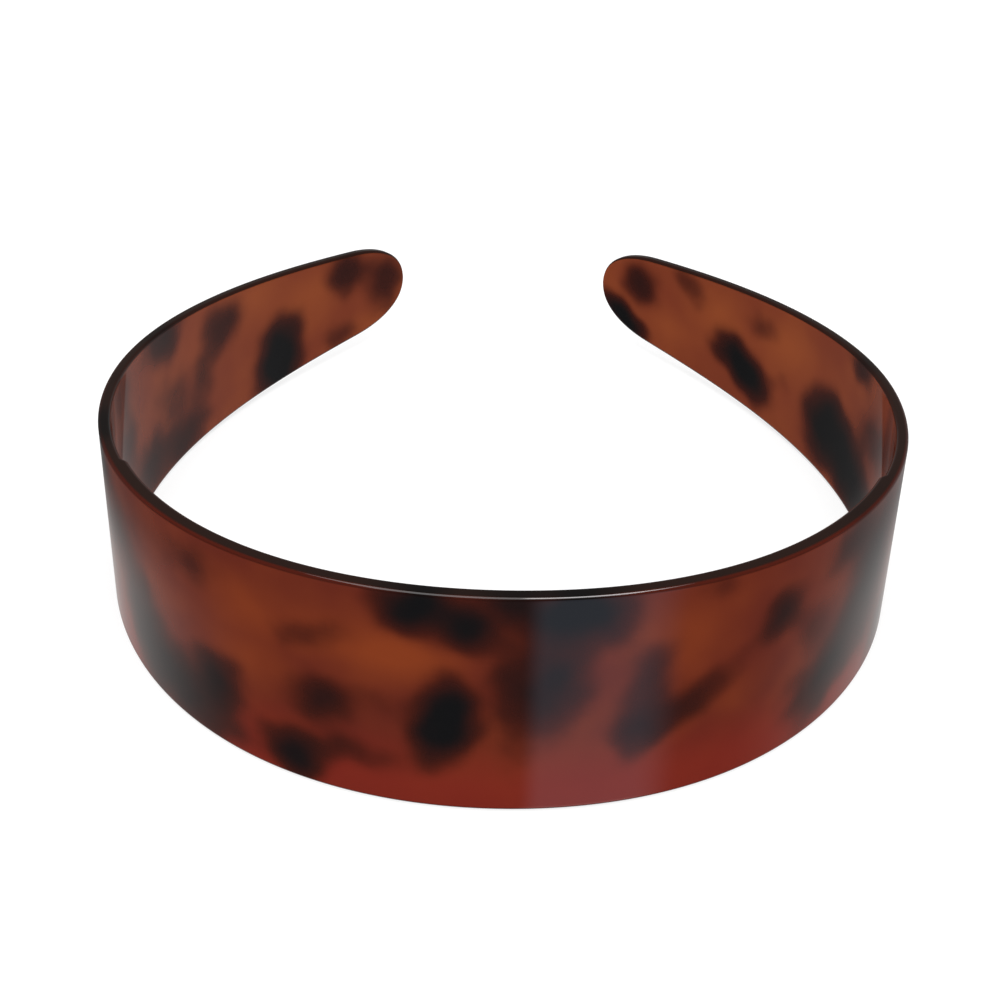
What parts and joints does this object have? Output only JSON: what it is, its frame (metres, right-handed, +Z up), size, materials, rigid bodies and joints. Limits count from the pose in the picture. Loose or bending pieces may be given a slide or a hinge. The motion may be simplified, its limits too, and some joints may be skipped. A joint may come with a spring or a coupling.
{
  "type": "headband",
  "caption": "Wide rigid plastic headband: a glossy tortoiseshell U-shaped strap with tapered arms that spring open at the temples and rounded tips.",
  "frame": {"origin": "the middle of the headband's width and depth, on the surface that its lower edge rests on", "axes": "+Z up, -Y towards the middle of the crown, +Y towards the gap between the tips, X from side to side"},
  "size_m": [0.1304, 0.138, 0.0379],
  "materials": {
    "tortoiseshell": "high-gloss polished plastic, amber and red-brown with soft dark brown blotches"
  },
  "bodies": {
    "crown": {"crown": "tortoiseshell"},
    "left_arm": {"left_arm": "tortoiseshell"},
    "right_arm": {"right_arm": "tortoiseshell"}
  },
  "joints": [
    {"name": "left_arm_flex", "type": "hinge", "parent": "crown", "child": "left_arm", "pos_m": [-0.05483, -0.03806, 0.01724], "axis": [0, 0.0576, 0.9983], "range_deg": [-8, 20], "stiffness_Nm_per_rad": 1.1},
    {"name": "right_arm_flex", "type": "hinge", "parent": "crown", "child": "right_arm", "pos_m": [0.05483, -0.03806, 0.01724], "axis": [0, -0.0576, -0.9983], "range_deg": [-8, 20], "stiffness_Nm_per_rad": 1.1}
  ]
}
